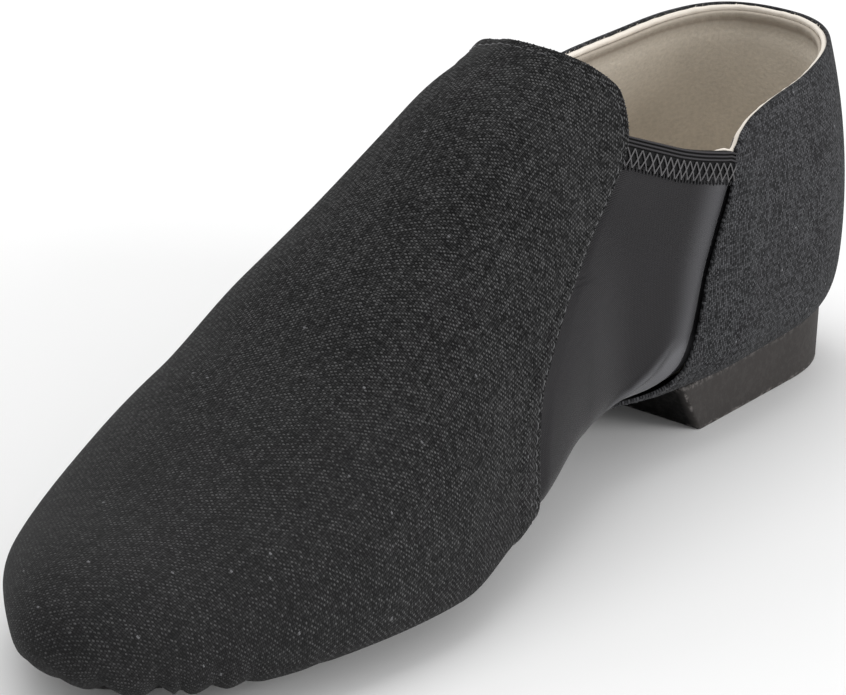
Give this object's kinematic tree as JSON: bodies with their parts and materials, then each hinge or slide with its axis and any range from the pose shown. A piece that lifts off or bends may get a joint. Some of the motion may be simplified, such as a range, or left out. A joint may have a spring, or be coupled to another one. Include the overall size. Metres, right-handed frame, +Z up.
{
  "type": "jazz shoe",
  "caption": "Slip-on jazz shoe for a right foot: canvas front and back panels over a stretch waist, split sole and low rubber heel.",
  "frame": {"origin": "on the floor under the middle of the shoe", "axes": "+Z up, -Y towards the toe, +X towards the inner side of the foot"},
  "size_m": [0.086, 0.25, 0.0908],
  "materials": {
    "neoprene": "smooth stretch cloth, soft sheen",
    "canvas": "coarse plain weave, matte black",
    "elastic": "fine knitted edge, dark grey",
    "sole_rubber": "matte black",
    "heel_rubber": "matte dark grey",
    "lining_cloth": "beige brushed cloth"
  },
  "bodies": {
    "root": {"upper": "neoprene", "vamp": "canvas", "counter": "canvas", "gore_binding_inner": "elastic", "gore_binding_outer": "elastic", "forefoot_outsole": "sole_rubber", "heel": "heel_rubber", "insole": "lining_cloth"}
  },
  "joints": []
}
